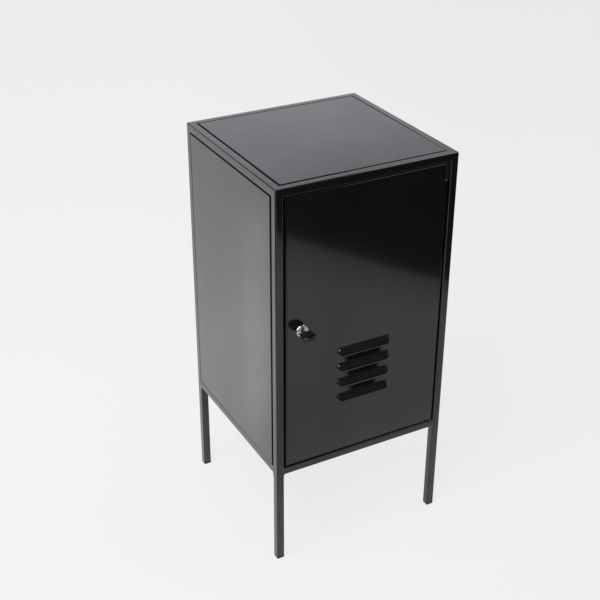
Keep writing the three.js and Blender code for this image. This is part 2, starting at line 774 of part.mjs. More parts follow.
// Lock, cam and key on one axis
lock.position.set(lock_x, lock_z, 0);
addPiece(lock, "lock_case", lockCase(), bright_chrome);
addPiece(lock, "lock_nut", lockNut(), zinc_plate);
addPiece(lock, "lock_plug", lockPlug(), bright_chrome);
addPiece(lock, "lock_cam", lockCam(), zinc_plate);
addPiece(lock, "cam_screw", camScrew(), zinc_plate);
addPiece(lock, "key_blade", keyBlade(), bright_chrome);
addPiece(lock, "key_head", keyHead(), black_plastic);

// The origin is on the floor, under the middle of the whole locker and its key
locker.position.y = key_head_end / 2;

export default locker;
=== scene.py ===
# %% [markdown]
# # A metal bedside locker
# The real thing is a welded frame of 15 mm square tube, painted gloss black, with folded sheet
# panels set into it, one door with pressed louvres, and a cam lock with its key. The packed
# model gives every size and place, so this script only makes the fine surfaces and finishes.

# %% Load the fixed frame
import json
import math

import bmesh
import bpy
import numpy as np
from mathutils import Euler, Matrix, Vector


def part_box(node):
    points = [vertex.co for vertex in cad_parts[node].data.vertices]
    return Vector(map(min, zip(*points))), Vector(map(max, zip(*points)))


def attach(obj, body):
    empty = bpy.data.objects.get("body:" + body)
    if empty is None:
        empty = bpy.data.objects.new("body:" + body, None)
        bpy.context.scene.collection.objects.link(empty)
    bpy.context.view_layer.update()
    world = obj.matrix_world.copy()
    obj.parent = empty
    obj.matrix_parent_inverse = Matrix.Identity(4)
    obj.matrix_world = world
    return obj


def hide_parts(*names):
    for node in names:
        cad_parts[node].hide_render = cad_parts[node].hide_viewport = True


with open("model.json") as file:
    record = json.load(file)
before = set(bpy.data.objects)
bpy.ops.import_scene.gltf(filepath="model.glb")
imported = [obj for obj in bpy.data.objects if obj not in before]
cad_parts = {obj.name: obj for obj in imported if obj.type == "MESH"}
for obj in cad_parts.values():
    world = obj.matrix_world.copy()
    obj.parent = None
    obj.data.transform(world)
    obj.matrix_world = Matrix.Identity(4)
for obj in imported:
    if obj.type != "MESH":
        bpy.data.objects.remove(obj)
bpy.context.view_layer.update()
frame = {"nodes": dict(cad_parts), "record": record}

# %% [markdown]
# ## The camera
# The view is the one of the picture: from the front left and from above. The lens and the
# stand point were solved from the straight edges of the locker, so the outline falls where it
# does in the picture. The camera could also be aimed with a constraint, but a fixed turn is
# simpler and keeps the small roll that the picture has.

# %% Camera
view_azimuth = math.radians(-28.567)
view_elevation = math.radians(29.039)
view_roll = math.radians(0.265)
view_distance = 2.26245
view_aim = Vector((0.01576, 0.11212, 0.37493))
lens_mm = 69.151

view_back = Vector((
    math.sin(view_azimuth) * math.cos(view_elevation),
    -math.cos(view_azimuth) * math.cos(view_elevation),
    math.sin(view_elevation),
))
view_ahead = Vector((-view_back.x, -view_back.y, 0)).normalized()
view_across = Vector((view_ahead.y, -view_ahead.x, 0))
view_turn = Euler((math.pi / 2 - view_elevation, 0, view_azimuth)).to_matrix()
view_turn = view_turn @ Matrix.Rotation(view_roll, 3, "Z")
bpy.ops.object.select_all(action="DESELECT")
bpy.ops.object.camera_add(
    location=view_aim + view_back * view_distance, rotation=view_turn.to_euler())
camera = bpy.context.object
camera.data.lens = lens_mm
bpy.context.scene.camera = camera
bpy.context.scene.view_settings.view_transform = "Standard"
print("camera at", [round(value, 3) for value in camera.location])

# %% [markdown]
# ## Shader maths as plain expressions
# A finish is easier to read as a formula than as a web of nodes. Wire holds one socket and
# adds a Math node for every sign in an expression.

# %% Wire
class Wire:
    """A number that runs through a node tree, with the usual arithmetic."""

    def __init__(self, finish, socket):
        self.finish = finish
        self.socket = socket

    def math(self, operation, *others):
        terms = (self, *others)
        return self.finish.wire("Math", {"operation": operation}, dict(enumerate(terms)))

    def __add__(self, other):
        return self.math("ADD", other)

    def __sub__(self, other):
        return self.math("SUBTRACT", other)

    def __rsub__(self, other):
        return (self * -1) + other

    def __mul__(self, other):
        return self.math("MULTIPLY", other)

    def __truediv__(self, other):
        return self.math("DIVIDE", other)


print("Wire ready")

# %% [markdown]
# Finish holds one material or world while its nodes are laid. Its node method adds any node by
# its type, its settings and the values of its sockets, and the rest are short names for the
# nodes that several finishes share.

# %% Finish
class Finish:
    """A material or a world while its nodes are being laid."""

    def __init__(self, owner):
        owner.use_nodes = True
        self.owner = owner
        self.tree = owner.node_tree
        self.tree.nodes.clear()

    def node(self, kind, settings=None, sockets=None):
        node = self.tree.nodes.new("ShaderNode" + kind)
        for key, value in (settings or {}).items():
            if key == "stops":
                fill_ramp(node.color_ramp, value)
            else:
                setattr(node, key, value)
        for key, value in (sockets or {}).items():
            if isinstance(value, Wire):
                self.tree.links.new(value.socket, node.inputs[key])
            else:
                node.inputs[key].default_value = value
        return node

    def wire(self, kind, settings=None, sockets=None, output=0):
        return Wire(self, self.node(kind, settings, sockets).outputs[output])

    def place(self):
        return self.wire("TexCoord", output=3)

    def along(self, vector, axis):
        """How far a place or a direction reaches along an axis."""
        return self.wire("VectorMath", {"operation": "DOT_PRODUCT"}, {0: vector, 1: axis}, 1)

    def band(self, value, start, end, low=0.0, high=1.0):
        """Runs smoothly from low to high while the value goes from start to end."""
        return self.wire("MapRange", {"interpolation_type": "SMOOTHSTEP"}, {
            "Value": value, "From Min": start, "From Max": end, "To Min": low, "To Max": high,
        })

    def drift(self, noise, low, high):
        """A value that drifts with a noise, most of which lies between 0.3 and 0.7."""
        return self.band(noise, 0.3, 0.7, low, high)

    def noise(self, scale, detail=2.0, stretch=(1, 1, 1)):
        """Cloudy noise on the piece's own coordinates, about 0.5 on average."""
        vector = self.wire("Mapping", None, {"Vector": self.place(), "Scale": stretch})
        return self.wire("TexNoise", None, {"Vector": vector, "Scale": scale, "Detail": detail})

    def mix(self, factor, first, second):
        """A colour between two others."""
        return self.wire("Mix", {"data_type": "RGBA"}, {0: factor, 6: first, 7: second}, 2)

    def bump(self, height, distance, under=None):
        sockets = {"Height": height, "Distance": distance}
        if under is not None:
            sockets["Normal"] = under
        return self.wire("Bump", None, sockets)

    def close(self, shader):
        kind = "OutputWorld" if isinstance(self.owner, bpy.types.World) else "OutputMaterial"
        self.node(kind, None, {"Surface": shader})
        return self.owner


def fill_ramp(ramp, stops):
    while len(ramp.elements) < len(stops):
        ramp.elements.new(1.0)
    for element, (position, colour) in zip(ramp.elements, stops):
        element.position = position
        element.color = colour


def grey(value, tint=(1, 1, 1)):
    """A grey of the given strength, with an opaque alpha."""
    return (*(value * channel for channel in tint), 1.0)


print("Finish ready")

# %% [markdown]
# ## Gloss black paint
# The paint is one thick coat of enamel, baked on. It is nearly black, so almost all that is
# seen in it is reflection. One glossy layer alone is too weak at a slant, so there are two: the
# base with a fine orange peel and slow waves of thin sheet, and a clear coat that lies level
# over both. Faint upright streaks in the coat are the marks of wiping, and a little dust lies in
# the base colour.

# %% Black paint
enamel_ior = 1.5
wave_height = 0.00030
peel_height = 0.0000012
dust_share = 0.35
upright = (1.0, 1.0, 0.10)


def make_black_paint():
    finish = Finish(bpy.data.materials.new("gloss_black_enamel"))
    clouds = finish.noise(scale=7.0, detail=3.0)
    streaks = finish.noise(scale=11.0, detail=3.0, stretch=upright)
    dust = finish.band(finish.noise(scale=900.0, detail=1.0), 0.70, 0.80)
    clean = finish.mix(clouds, grey(0.0030), grey(0.0046, (1.0, 0.99, 0.97)))
    waves = finish.bump(finish.noise(scale=6.0, detail=1.0), wave_height)
    peel = finish.noise(scale=650.0, detail=1.0)
    shader = finish.wire("BsdfPrincipled", None, {
        "Base Color": finish.mix(dust * dust_share, clean, grey(0.020)),
        "Roughness": finish.drift(clouds, low=0.11, high=0.16),
        "IOR": enamel_ior,
        "Normal": finish.bump(peel, peel_height, under=waves),
        "Coat Weight": finish.drift(streaks, low=0.86, high=1.0),
        "Coat Roughness": 0.06,
        "Coat IOR": enamel_ior,
    })
    return finish.close(shader)


finishes = {"black_paint": make_black_paint()}
print("made", ", ".join(finishes))

# %% [markdown]
# The hinge's knuckle sits in its notch. Its paint is made dull and weakly reflecting, with a low
# IOR, no clear coat and a coarser grain, so the knuckle stays dark in the notch.

# %% Dull knuckle paint
dull_ior = 1.3
dull_grain = 0.000020


def make_dull_knuckle_paint():
    finish = Finish(bpy.data.materials.new("dull_knuckle_enamel"))
    grain = finish.noise(scale=500.0, detail=3.0)
    shader = finish.wire("BsdfPrincipled", None, {
        # A low IOR and high roughness dim its reflections, which keeps the knuckle dark in its
        # notch.
        "Base Color": finish.mix(grain, grey(0.0040), grey(0.0080)),
        "Roughness": finish.drift(grain, low=0.55, high=0.75),
        "IOR": dull_ior,
        "Normal": finish.bump(grain, dull_grain),
    })
    return finish.close(shader)


finishes["dull_knuckle_paint"] = make_dull_knuckle_paint()
print("made", ", ".join(finishes))

# %% [markdown]
# ## Plastic and rubber
# The key's head and the foot caps are moulded in black plastic, with a satin skin and a very
# fine grain. The buffers behind the door are rubber, matt and slightly dusty. Both could share
# one material, but plastic has a clear highlight and rubber has none.

# %% Plastic and rubber
plastic_grain = 0.000006
rubber_grain = 0.00003


def make_plastic():
    finish = Finish(bpy.data.materials.new("satin_black_plastic"))
    clouds = finish.noise(scale=60.0, detail=3.0)
    shader = finish.wire("BsdfPrincipled", None, {
        "Base Color": finish.mix(clouds, grey(0.0050), grey(0.0095)),
        "Roughness": finish.drift(clouds, low=0.20, high=0.28),
        "Normal": finish.bump(finish.noise(scale=2600.0), plastic_grain),
    })
    return finish.close(shader)


def make_rubber():
    finish = Finish(bpy.data.materials.new("matt_black_rubber"))
    clouds = finish.noise(scale=400.0, detail=3.0)
    shader = finish.wire("BsdfPrincipled", None, {
        "Base Color": finish.mix(clouds, grey(0.010), grey(0.020, (1.0, 0.96, 0.92))),
        "Roughness": finish.drift(clouds, low=0.75, high=0.9),
        "Normal": finish.bump(clouds, rubber_grain),
    })
    return finish.close(shader)


finishes["black_plastic"] = make_plastic()
finishes["black_rubber"] = make_rubber()
print("made", ", ".join(finishes))

# %% [markdown]
# ## Chrome and zinc
# Chrome is a warm mirror with hairline marks from polishing. The zinc plate on the nut, the cam
# and the pins is greyer, with the cloudy grain of a tumbled part. Their colour and roughness
# both drift a little, because an even metal looks like a computer's.

# %% Chrome and zinc
hairlines = (1.0, 1.0, 9.0)
hairline_depth = 0.000004
zinc_grain = 0.000010


def make_chrome():
    finish = Finish(bpy.data.materials.new("bright_chrome"))
    haze = finish.noise(scale=240.0, detail=3.0)
    marks = finish.noise(scale=900.0, detail=1.0, stretch=hairlines)
    duller = grey(0.80, (1.0, 0.95, 0.88))
    brighter = grey(0.88, (1.0, 0.97, 0.92))
    shader = finish.wire("BsdfPrincipled", None, {
        "Base Color": finish.mix(haze, duller, brighter),
        "Metallic": 1.0,
        "Roughness": finish.drift(haze, low=0.05, high=0.13),
        "Normal": finish.bump(marks, hairline_depth),
    })
    return finish.close(shader)


def make_zinc():
    finish = Finish(bpy.data.materials.new("bright_zinc"))
    grain = finish.noise(scale=700.0, detail=4.0)
    clouds = finish.noise(scale=90.0)
    both = grain * 0.5 + clouds * 0.5
    shader = finish.wire("BsdfPrincipled", None, {
        "Base Color": finish.mix(clouds, grey(0.42, (0.98, 1.0, 1.03)), grey(0.60)),
        "Metallic": 1.0,
        "Roughness": finish.band(both, 0.35, 0.65, low=0.26, high=0.42),
        "Normal": finish.bump(grain, zinc_grain),
    })
    return finish.close(shader)


finishes["chrome"] = make_chrome()
finishes["zinc_plate"] = make_zinc()
print("made", ", ".join(finishes))

# %% [markdown]
# ## The floor
# A black gloss locker shows the room it stands in. The floor is a wide sheet of pale paper that
# ends a good metre to the right, where the dark studio floor begins: that edge is the slanting line
# in the door. What reflections see of the paper is painted light: it glows brightest behind the
# locker, dimmer in front and dimmer again near its far edge. The camera sees it as one even pale
# tone with the locker's own faint shadow on it.

# %% Paper in reflections
# Painted light: how bright the paper shows in reflections, from in front of the locker to behind
# it.
paper_glow = (
    (-2.0, 0.42), (-1.2, 0.455), (-0.8, 0.455), (-0.6, 0.42), (-0.45, 0.42), (-0.33, 0.52),
    (-0.2, 0.60), (-0.05, 0.66), (0.3, 0.70), (0.65, 0.79), (0.94, 0.735), (1.31, 0.705),
    (1.6, 0.68), (3.0, 0.66),
)
paper_near = paper_glow[0][0]
paper_far = paper_glow[-1][0]
paper_tint = (1.0, 0.997, 0.987)
paper_turn = math.radians(29.3)
paper_edge = 1.089
paper_edge_blur = 0.012
# Painted shade: the paper's glow dims over the last stretch before its far edge.
paper_edge_shade = 0.30
paper_edge_reach = 0.24
dark_floor = 0.014
print("paper ends", paper_edge, "m to the right")

# %% [markdown]
# Three soft patches of painted light and shade lie in the paper's glow: a painted pool of light to
# the left behind the locker, which the side panel shows as a paler band, a painted shadow under the
# body and to its right, and a painted darker zone far to the left. Each is a product of bands, and
# a band rises from the first of its limits to the second.

# %% Painted light and shade on the paper
# A painted pool of light on the paper to the left behind the locker.
pool_turn = math.radians(26)
pool_lift = 0.30
pool_right = (-0.125, -0.195)
pool_left = (-0.245, -0.21)
pool_near = (0.15, 0.40)
pool_far = (1.45, 1.05)
# A painted shadow under the body and to its right.
body_shade = 0.25
body_shade_left = (-0.20, -0.05)
body_shade_near = (-0.32, -0.08)
body_shade_far = (0.35, 0.15)
# A painted darker zone far to the left.
far_left_shade = 0.85
far_left_start = (-0.85, -1.15)
far_left_far = (0.5, 0.1)


def paper_brightness(finish, place):
    """What a glossy surface sees of the floor, with its light and shade painted in."""
    across = finish.along(place, (1, 0, 0))
    depth = finish.along(place, (0, 1, 0))
    span = paper_far - paper_near
    stops = [((level - paper_near) / span, grey(glow, paper_tint)) for level, glow in paper_glow]
    glow = finish.wire("ValToRGB", {"stops": stops}, {"Fac": (depth - paper_near) / span})
    slant = finish.along(place, (math.cos(pool_turn), math.sin(pool_turn), 0))
    pool = finish.band(slant, *pool_right) * finish.band(slant, *pool_left)
    pool = pool * finish.band(depth, *pool_near) * finish.band(depth, *pool_far)
    under = finish.band(across, *body_shade_left) * finish.band(depth, *body_shade_near)
    under = under * finish.band(depth, *body_shade_far)
    far_left = finish.band(across, *far_left_start) * finish.band(depth, *far_left_far)
    edge = finish.along(place, (math.cos(paper_turn), -math.sin(paper_turn), 0))
    near_edge = finish.band(edge, paper_edge - paper_edge_reach, paper_edge)
    # The painted pool of light lifts the glow; the painted shadow and the darker zones lower it.
    level = (pool * pool_lift + 1) * (1 - under * body_shade)
    level = level * (1 - far_left * far_left_shade) * (1 - near_edge * paper_edge_shade)
    glow = finish.wire("VectorMath", {"operation": "MULTIPLY"}, {0: glow, 1: level})
    beyond = finish.band(edge, paper_edge - paper_edge_blur, paper_edge + paper_edge_blur)
    return finish.mix(beyond, glow, grey(dark_floor))


print("paper's glow from", paper_glow[0][1], "in front to", paper_glow[-1][1], "behind")

# %% [markdown]
# The picture's own floor is paler still and almost even. It is shown by its own light, with a small
# share of a plain matt surface mixed in to take the shadow. Painted light and shade make it a touch
# brighter on the left and a touch dimmer and warmer on the right, as the picture is.

# %% Floor
floor_reach = 9.0
shadow_share = 0.13
# Painted light and shade: the floor's own glow is brighter on the left and dimmer and warmer on the
# right.
pale_left = grey(0.892, (0.994, 1.004, 1.000))
pale_right = grey(0.862, (1.004, 1.000, 0.988))
pale_tone = grey(0.868)
tone_reach = 0.7
matt_paper = grey(0.72)


def make_floor_paper():
    finish = Finish(bpy.data.materials.new("floor_paper"))
    place = finish.place()
    reflected = paper_brightness(finish, place)
    to_the_right = finish.band(finish.along(place, view_across), -tone_reach, tone_reach)
    pale = finish.mix(to_the_right, pale_left, pale_right)
    path = finish.node("LightPath")
    camera_ray = Wire(finish, path.outputs["Is Camera Ray"])
    glossy_ray = Wire(finish, path.outputs["Is Glossy Ray"])
    clear_ray = Wire(finish, path.outputs["Is Transmission Ray"])
    seen = finish.mix(glossy_ray, pale, reflected)
    light = finish.wire("Emission", None, {"Color": seen})
    matt = finish.wire("BsdfDiffuse", None, {"Color": matt_paper})
    shown = (glossy_ray + clear_ray + camera_ray * (1 - shadow_share)).math("MINIMUM", 1.0)
    return finish.close(finish.wire("MixShader", None, {0: shown, 1: matt, 2: light}))


bpy.ops.object.select_all(action="DESELECT")
bpy.ops.mesh.primitive_plane_add(size=2 * floor_reach, location=(0, 0, 0))
floor = bpy.context.object
floor.name = "floor"
floor.data.materials.append(make_floor_paper())
print("floor", 2 * floor_reach, "m wide")

# %% [markdown]
# ## The room
# Behind the locker hangs the pale backdrop, which the top reflects: it is lighter low down, so
# the top is lighter at its back. The rest of the studio is dim, with a paler wall to the left.
# The camera sees the pale tone all round, reflections see the room, and matt surfaces get an
# even fill.

# %% Room
backdrop_low = 0.365
backdrop_high = 0.405
backdrop_lean = 0.40
cloth_tint = (0.965, 0.99, 1.05)
cloth_below = grey(0.675, cloth_tint)
cloth_above = grey(0.50, cloth_tint)
cloth_side = (0.15, 0.45)
cloth_top = (0.55, 0.44)
room_fill = 0.60
dim_wall = 0.065
left_wall = grey(0.18, (1.0, 0.99, 0.97))
left_wall_side = (-0.35, -0.75)


def make_room():
    finish = Finish(bpy.data.worlds.new("studio"))
    direction = finish.wire("TexCoord", output=0)
    ahead = finish.along(direction, view_ahead)
    lateral = finish.along(direction, view_across)
    height = finish.along(direction, (0, 0, 1))
    tilted = height + lateral * backdrop_lean
    cloth = finish.mix(
        finish.band(tilted, backdrop_low, backdrop_high), cloth_below, cloth_above)
    behind = finish.band(ahead, *cloth_side) * finish.band(height, *cloth_top)
    left = finish.band(lateral, *left_wall_side)
    walled = finish.mix(left, grey(dim_wall), left_wall)
    room = finish.mix(behind, walled, cloth)
    path = finish.node("LightPath")
    camera_ray = Wire(finish, path.outputs["Is Camera Ray"])
    glossy_ray = Wire(finish, path.outputs["Is Glossy Ray"])
    seen = finish.mix(camera_ray, finish.mix(glossy_ray, grey(room_fill), room), pale_tone)
    return finish.close(finish.wire("Background", None, {"Color": seen}))


bpy.context.scene.world = make_room()
print("room made, fill", room_fill)

# %% [markdown]
# ## The lamps
# Soft boxes hang round the locker: one high on the right, which lights the fold along the
# door's top, two on the left for the chrome, and a small one above the camera that puts the
# sparks on the ends of the louvres. They are weak, so the shadow stays faint.

# %% Lamps
lamp_aim = Vector((0, 0, 0.45))


def soft_box(name, place, size, watts, tint=(1, 1, 1)):
    look = (lamp_aim - Vector(place)).to_track_quat("-Z", "Y")
    bpy.ops.object.select_all(action="DESELECT")
    bpy.ops.object.light_add(type="AREA", location=place, rotation=look.to_euler())
    lamp = bpy.context.object
    lamp.name = name
    lamp.data.shape = "RECTANGLE"
    lamp.data.size = size[0]
    lamp.data.size_y = size[1]
    lamp.data.energy = watts
    lamp.data.color = tint


soft_box("overhead_box", place=(2.0, -0.2, 2.9), size=(1.8, 1.4), watts=24, tint=(1.0, 0.93, 0.85))
soft_box("upper_left_box", place=(-1.3, -0.5, 2.9), size=(1.2, 1.2), watts=34)
soft_box("left_box", place=(-2.6, -0.5, 1.5), size=(1.0, 1.5), watts=36, tint=(1.0, 0.97, 0.93))
soft_box("spark_box", place=(-1.6, -1.7, 2.6), size=(0.5, 0.5), watts=28, tint=(1.0, 0.97, 0.92))

# %% [markdown]
# ## Working by hand in code
# Each piece starts as a primitive at its size and place and is then shaped in edit mode. The
# first helpers add a block or a rod and put its size into the mesh, so that a bevel is as wide
# in every direction and the object stays at the origin.

# %% Adding and settling
def settle(piece, name):
    """Puts the place and the size into the mesh, so that the object sits at the origin."""
    piece.name = name
    bpy.ops.object.select_all(action="DESELECT")
    piece.select_set(True)
    bpy.context.view_layer.objects.active = piece
    bpy.ops.object.transform_apply(location=True, rotation=True, scale=True)
    return piece


def add_block(name, low, high):
    low, high = Vector(low), Vector(high)
    bpy.ops.object.select_all(action="DESELECT")
    bpy.ops.mesh.primitive_cube_add(size=1, location=(low + high) / 2)
    bpy.context.object.scale = high - low
    return settle(bpy.context.object, name)


def add_rod(name, start, end, radius, sides=64):
    start, end = Vector(start), Vector(end)
    lie = (end - start).to_track_quat("Z", "Y").to_euler()
    bpy.ops.object.select_all(action="DESELECT")
    bpy.ops.mesh.primitive_cylinder_add(
        vertices=sides, radius=radius, depth=(end - start).length,
        location=(start + end) / 2, rotation=lie)
    return settle(bpy.context.object, name)


print("adding tools ready")

# %% [markdown]
# In edit mode a click would choose an edge or a face. Here pick chooses them by a test, such as
# lying at a level or running along an axis. That is easier to read than a list of numbers, and
# it still holds when the sizes change.

# %% Shaping
same_place = 0.00002
parallel = 0.999


def enter(piece):
    bpy.ops.object.select_all(action="DESELECT")
    piece.select_set(True)
    bpy.context.view_layer.objects.active = piece
    bpy.ops.object.mode_set(mode="EDIT")


def leave():
    bpy.ops.object.mode_set(mode="OBJECT")


def pick(kind, test):
    """In edit mode, selects the edges or faces that pass the test and counts them."""
    bpy.ops.mesh.select_mode(type=kind)
    bpy.ops.mesh.select_all(action="DESELECT")
    shape = bmesh.from_edit_mesh(bpy.context.object.data)
    items = shape.edges if kind == "EDGE" else shape.faces
    chosen = [item for item in items if test(item)]
    for item in chosen:
        item.select_set(True)
    shape.select_flush_mode()
    bmesh.update_edit_mesh(bpy.context.object.data)
    return len(chosen)


def round_edges(radius, steps=4):
    bpy.ops.mesh.bevel(offset=radius, offset_type="OFFSET", segments=steps, affect="EDGES")


def in_plane(item, axis, level):
    """True when every corner of an edge or face lies at a level along an axis."""
    return all(abs(vertex.co[axis] - level) < same_place for vertex in item.verts)


def runs_along(edge, axis):
    """True when an edge runs along an axis."""
    span = edge.verts[1].co - edge.verts[0].co
    return abs(span[axis]) > parallel * span.length


print("shaping tools ready")

# %% [markdown]
# Holes and joints between solids are left to the Boolean modifier. The last touch is the same
# for every piece: smooth shading over the round edges, normals that keep the flat faces flat,
# the paint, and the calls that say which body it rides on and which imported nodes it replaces.

# %% Modifiers and the last touch
smooth_angle = math.radians(35)
flat_angle = math.radians(1)


def apply_modifier(piece, kind, **settings):
    bpy.context.view_layer.objects.active = piece
    modifier = piece.modifiers.new(kind.lower(), kind)
    for key, value in settings.items():
        setattr(modifier, key, value)
    bpy.ops.object.modifier_apply(modifier=modifier.name)


def combine(piece, other, operation):
    """Joins or cuts with another solid, which is used up."""
    apply_modifier(piece, "BOOLEAN", operation=operation, object=other, solver="EXACT")
    bpy.data.objects.remove(other)


def cut_away(piece, low, high):
    combine(piece, add_block("cut", low, high), "DIFFERENCE")


def finish_piece(piece, body, slot, nodes, paint=None):
    """Smooths a piece, keeps its flat faces flat, paints it and puts it on its body."""
    bpy.ops.object.select_all(action="DESELECT")
    piece.select_set(True)
    bpy.context.view_layer.objects.active = piece
    bpy.ops.object.shade_smooth_by_angle(angle=smooth_angle)
    apply_modifier(piece, "WEIGHTED_NORMAL", keep_sharp=True, weight=100)
    piece.data.materials.clear()
    piece.data.materials.append(finishes[paint or slot])
    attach(piece, body)
    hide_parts(*nodes)
    print(piece.name, len(piece.data.polygons), "faces")


print("finishing tools ready")

# %% [markdown]
# ## The welded frame
# Four legs, a top ring and four bottom rails are welded, ground flush and painted, so no seam
# shows between them. That makes them one surface here. A block as large as the locker has all
# that isn't tube cut away, the corners under the bottom rails get the fillet of their weld, and
# every edge gets the tube's own radius.

# %% Frame sizes
posts = [f"{depth}_{width}_post" for depth in ("front", "back") for width in ("left", "right")]
rails = [f"{level}_{side}_rail" for level in ("top", "bottom")
         for side in ("front", "right", "back", "left")]
tube_round = 0.0023
weld_round = 0.003

leg_low, leg_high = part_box("front_left_post")
tube_size = leg_high.x - leg_low.x
frame_low = leg_low
frame_high = Vector((*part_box("back_right_post")[1].xy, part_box("top_front_rail")[1].z))
ring_bottom = frame_high.z - tube_size
rail_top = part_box("floor_panel")[1].z
rail_bottom = rail_top - tube_size
print("tube", round(tube_size, 4), "rails from", round(rail_bottom, 4), "to", round(rail_top, 4))

# %% [markdown]
# Two tests tell the edges apart. The inward corners where a leg meets a bottom rail from below
# are the ones with a weld in them. The outward edges are the tube's own, apart from those at
# the foot, where the cap begins.

# %% Frame
def is_weld_corner(edge):
    turns_in = edge.is_manifold and not edge.is_convex and edge.calc_face_angle(0) > smooth_angle
    return turns_in and in_plane(edge, 2, rail_bottom)


def is_open_edge(edge):
    at_foot = in_plane(edge, 2, frame_low.z)
    return edge.is_convex and edge.calc_face_angle(0) > smooth_angle and not at_foot


def make_welded_frame():
    low, high = frame_low, frame_high
    past = tube_size
    left, front = low.x + tube_size, low.y + tube_size
    right, back = high.x - tube_size, high.y - tube_size
    body = add_block("welded_frame", low, high)
    cut_away(body, (left, front, low.z - past), (right, back, high.z + past))
    for bottom, top in ((low.z - past, rail_bottom), (rail_top, ring_bottom)):
        cut_away(body, (left, low.y - past, bottom), (right, high.y + past, top))
        cut_away(body, (low.x - past, front, bottom), (high.x + past, back, top))
    enter(body)
    bpy.ops.mesh.select_all(action="SELECT")
    bpy.ops.mesh.dissolve_limited(angle_limit=flat_angle)
    print("weld corners:", pick("EDGE", is_weld_corner))
    round_edges(weld_round, steps=5)
    print("tube edges:", pick("EDGE", is_open_edge))
    round_edges(tube_round)
    leave()
    finish_piece(body, "cabinet", "black_paint", posts + rails)


make_welded_frame()

# %% [markdown]
# ## Foot caps
# A plastic cap closes each leg. It is as wide as the tube and rounded at the floor, and 4 mm of
# it are seen. One is modelled and the others are copies of its mesh, moved to their own legs.

# %% Foot caps
cap_round = 0.0012
cap_top_round = 0.0002


def make_foot_caps():
    low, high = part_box("front_left_foot_cap")
    top = frame_low.z
    first = add_block("front_left_cap", low, (high.x, high.y, top))
    enter(first)
    pick("EDGE", lambda edge: runs_along(edge, 2))
    round_edges(tube_round)
    pick("EDGE", lambda edge: in_plane(edge, 2, low.z))
    round_edges(cap_round)
    pick("EDGE", lambda edge: in_plane(edge, 2, top))
    round_edges(cap_top_round, steps=2)
    leave()
    for post in posts[1:]:
        corner = post.removesuffix("_post")
        copy = bpy.data.objects.new(corner + "_cap", first.data.copy())
        bpy.context.collection.objects.link(copy)
        copy.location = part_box(corner + "_foot_cap")[0] - low
        settle(copy, copy.name)
        finish_piece(copy, "cabinet", "black_plastic", [corner + "_foot_cap"])
    finish_piece(first, "cabinet", "black_plastic", ["front_left_foot_cap"])


make_foot_caps()

# %% [markdown]
# ## Folded panels
# A panel is a sheet with its four sides folded back, like a shallow tray. It could be cut from
# a thick plate, but a real fold has a round edge outside and an even wall, so the block loses
# its back face, the edges round its face are bevelled, and Solidify gives the sheet its wall.
# Where the groove round a panel is open, the end of the fold is turned out behind it as a lip
# that ends just short of the tube, so no light shines through from inside.

# %% Lips
lip_gap = 0.0003
lipped = ("top_panel", "left_side_panel", "right_side_panel", "back_panel")
lip_low = Vector((leg_high.x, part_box("upper_door_stop")[1].y, rail_top))
lip_high = Vector((frame_high.x - tube_size, frame_high.y - tube_size, ring_bottom))


def turn_out_lip(low, high, axis):
    """Carries open edges out to the tubes. axis is the one that the tray's face looks along."""
    sides = []
    for across in range(3):
        for level, end in ((low[across], lip_low[across] + lip_gap),
                           (high[across], lip_high[across] - lip_gap)):
            if across != axis and abs(end - level) > lip_gap:
                sides.append((across, level, end))
    pick("EDGE", lambda edge: edge.is_boundary and any(
        in_plane(edge, across, level) for across, level, end in sides))
    bpy.ops.mesh.extrude_edges_move()
    shape = bmesh.from_edit_mesh(bpy.context.object.data)
    for point in [point for point in shape.verts if point.select]:
        for across, level, end in sides:
            if abs(point.co[across] - level) < same_place:
                point.co[across] = end
    bmesh.update_edit_mesh(bpy.context.object.data)


print("lips reach from", [round(value, 4) for value in lip_low], "to",
      [round(value, 4) for value in lip_high])

# %% [markdown]
# The picture shows the grooves by the near rails a little wider than the others, so two sheets
# are drawn back by a millimetre or two there. The shelf is folded the same way as the panels.

# %% Trays
sheet = 0.0008
fold_round = 0.0012
drawn_back = {"top_panel": (0.0004, 0.0014, 0), "left_side_panel": (0, 0.0021, 0)}


def make_tray(node, axis, side):
    """axis and side say which way the panel's face looks."""
    low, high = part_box(node)
    low += Vector(drawn_back.get(node, (0, 0, 0)))
    tray = add_block(node + "_sheet", low, high)
    face_level, back_level = (high[axis], low[axis]) if side > 0 else (low[axis], high[axis])
    enter(tray)
    pick("FACE", lambda face: in_plane(face, axis, back_level))
    bpy.ops.mesh.delete(type="FACE")
    pick("EDGE", lambda edge: in_plane(edge, axis, face_level))
    round_edges(fold_round, steps=5)
    if node in lipped:
        turn_out_lip(low, high, axis)
    leave()
    apply_modifier(tray, "SOLIDIFY", thickness=sheet, offset=-1, use_even_offset=True)
    finish_piece(tray, "cabinet", "black_paint", [node])


for tray_node, tray_axis, tray_side in (
    ("top_panel", 2, 1),
    ("floor_panel", 2, 1),
    ("left_side_panel", 0, -1),
    ("right_side_panel", 0, 1),
    ("back_panel", 1, 1),
    ("shelf", 2, 1),
):
    make_tray(tray_node, tray_axis, tray_side)

# %% [markdown]
# ## The louvres' place
# Four louvres are pressed out of the door's sheet. They are placed before the door is made, as
# its face is built round them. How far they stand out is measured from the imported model. Their
# outline is set here, and it could be drawn as a curve, but a few lengths are enough.

# %% Louvre sizes
louvre_count = 4
louvre_pitch = 0.0318
louvre_middle_x = -0.0022
louvre_middle_z = 0.365
louvre_length = 0.108
louvre_height = 0.0145
louvre_end_reach = 0.0075

